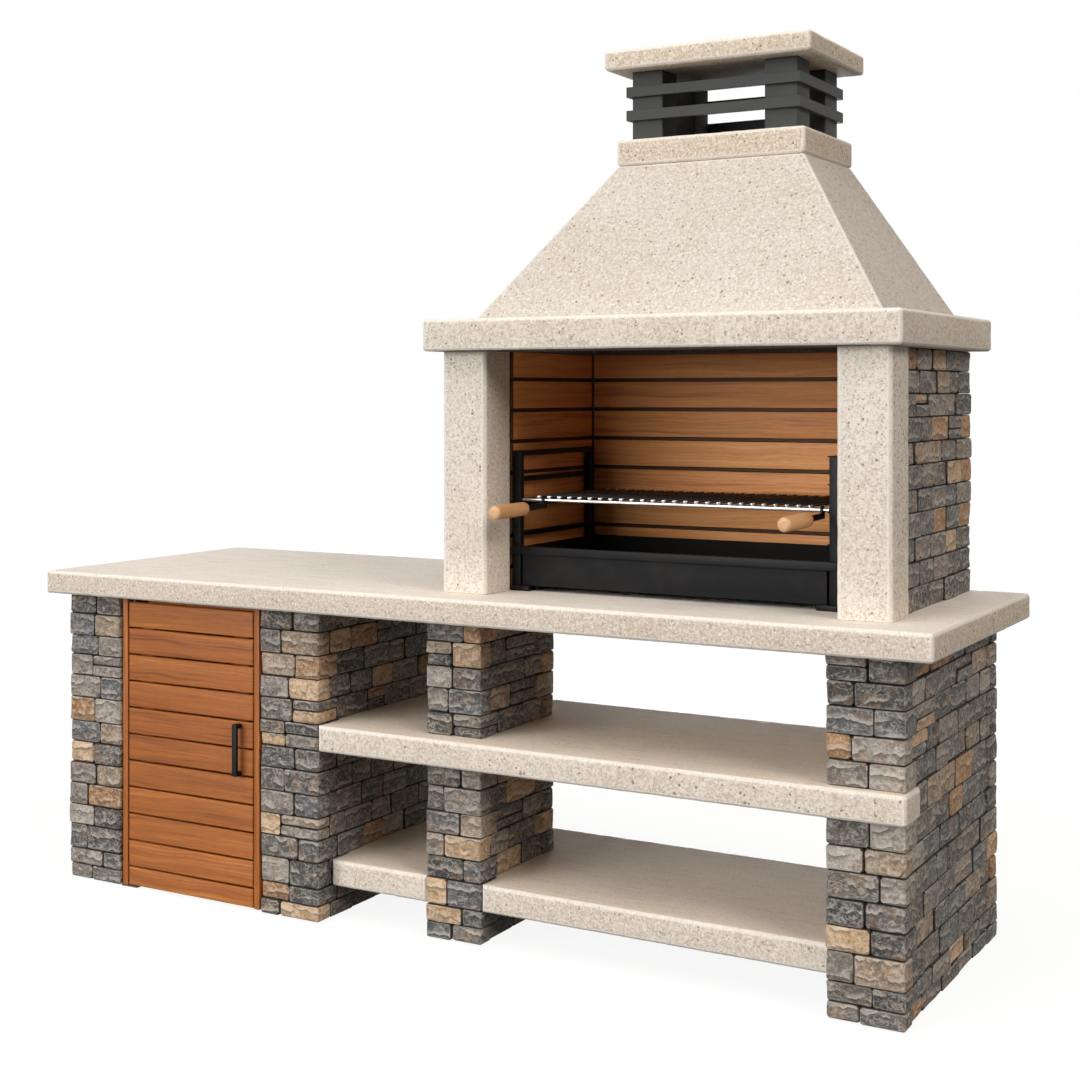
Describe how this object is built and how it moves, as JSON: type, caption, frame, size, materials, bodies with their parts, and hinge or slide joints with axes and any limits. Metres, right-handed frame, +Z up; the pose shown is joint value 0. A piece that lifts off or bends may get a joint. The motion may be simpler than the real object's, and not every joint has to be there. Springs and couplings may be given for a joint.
{
  "type": "masonry barbecue",
  "caption": "Masonry barbecue: stone-clad bench with plank-door cupboard and open shelves, lined firebox with a pull-out grill, and a tapering hood with open cowl.",
  "frame": {"origin": "on the ground under the middle of the worktop", "axes": "+Z up, +X along the bench from the cupboard to the firebox, -Y towards the user at the front"},
  "size_m": [2.64, 0.86, 2.334],
  "materials": {
    "washed_concrete": "washed aggregate, speckled",
    "slate": "split face, dry laid look",
    "mortar": "plain mortar",
    "lining_board": "wood-effect refractory board",
    "door_wood": "oiled planks",
    "beech": "turned and varnished",
    "black_steel": "satin black heat paint",
    "grill_chrome": "bright plated",
    "anthracite_cast": "painted cast stone",
    "anthracite_steel": "satin paint",
    "plated_steel": "zinc plated",
    "catch_case": "moulded case with a magnet",
    "cement_board": "fibre cement sheet"
  },
  "bodies": {
    "masonry": {"back_lining": "lining_board", "back_wall": "mortar", "bottom_pivot": "plated_steel", "bottom_shelf": "washed_concrete", "cabinet_pier_core": "mortar", "cabinet_pier_stones": "slate", "chimney_cap": "washed_concrete", "collar_slab": "washed_concrete", "cowl_posts": "anthracite_cast", "cupboard_back_cleats": "door_wood", "cupboard_back_panel": "cement_board", "door_head_stop": "door_wood", "fire_tray": "black_steel", "hood": "washed_concrete", "left_column": "washed_concrete", "left_door_jamb": "door_wood", "left_lining": "lining_board", "left_pier_core": "mortar", "left_pier_stones": "slate", "left_rack_rails": "black_steel", "left_rack_uprights": "black_steel", "left_wall_core": "mortar", "left_wall_stones": "slate", "lintel_slab": "washed_concrete", "lower_cowl_band": "anthracite_steel", "magnet_catch": "catch_case", "middle_pier_core": "mortar", "middle_pier_stones": "slate", "middle_shelf": "washed_concrete", "rack_feet": "black_steel", "right_column": "washed_concrete", "right_door_jamb": "door_wood", "right_lining": "lining_board", "right_pier_core": "mortar", "right_pier_stones": "slate", "right_rack_rails": "black_steel", "right_rack_uprights": "black_steel", "right_wall_core": "mortar", "right_wall_stones": "slate", "top_pivot": "plated_steel", "tray_front_lip": "black_steel", "upper_cowl_band": "anthracite_steel", "worktop_slab": "washed_concrete"},
    "door": {"door_planks": "door_wood", "door_battens": "door_wood", "door_handle": "black_steel", "strike_plate": "plated_steel"},
    "grill": {"grill_frame": "grill_chrome", "grill_rods": "grill_chrome", "grill_handle_straps": "black_steel", "left_grip": "beech", "right_grip": "beech"}
  },
  "joints": [
    {"name": "door_swing", "type": "hinge", "parent": "masonry", "child": "door", "pos_m": [-1.026, -0.371, 0.4135], "axis": [0, 0, -1], "range_deg": [0, 110]},
    {"name": "grill_slide", "type": "slide", "parent": "masonry", "child": "grill", "axis": [0, -1, 0], "range_m": [0, 0.3]}
  ]
}
